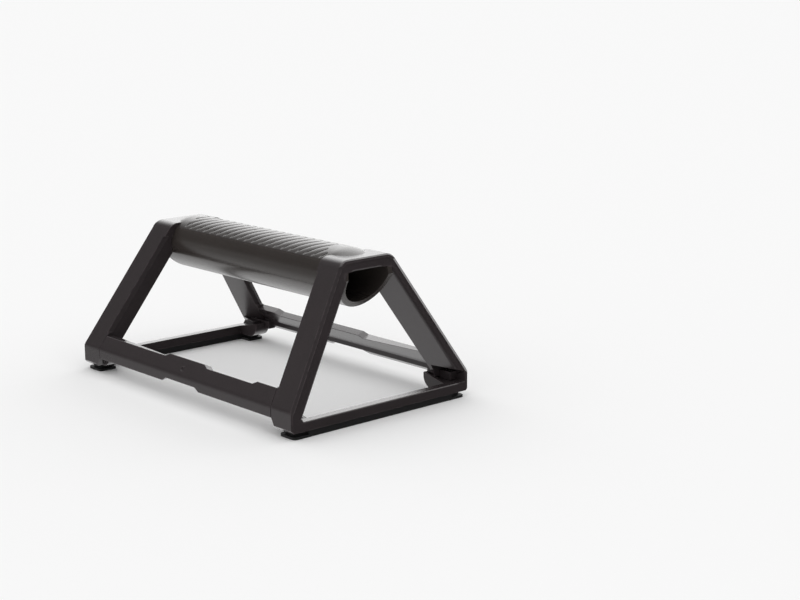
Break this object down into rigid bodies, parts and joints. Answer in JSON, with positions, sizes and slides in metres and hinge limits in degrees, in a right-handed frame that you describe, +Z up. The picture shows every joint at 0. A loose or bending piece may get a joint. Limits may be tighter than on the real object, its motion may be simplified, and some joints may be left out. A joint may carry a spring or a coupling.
{
  "type": "parallette bar",
  "caption": "Low free-standing parallette bar: ribbed hollow grip on two leaning A-shaped end frames, tied by side rails, on rubber pads.",
  "frame": {"origin": "on the floor, under the middle of the grip", "axes": "+X along the grip, +Y across it, +Z up"},
  "size_m": [0.23, 0.147, 0.1037],
  "materials": {
    "frame_plastic": "satin, fine moulded texture",
    "grip_plastic": "satin",
    "cover_plastic": "satin, swept grooves",
    "rail_plastic": "satin, fine moulded texture",
    "pad_rubber": "matt",
    "screw_steel": "zinc plated"
  },
  "bodies": {
    "root": {"end_frame_right": "frame_plastic", "end_frame_left": "frame_plastic", "grip_core": "grip_plastic", "grip_cover": "cover_plastic", "front_rail": "rail_plastic", "rear_rail": "rail_plastic", "right_base_pad": "pad_rubber", "left_base_pad": "pad_rubber", "grip_screws": "screw_steel", "rail_screws": "screw_steel"}
  },
  "joints": []
}
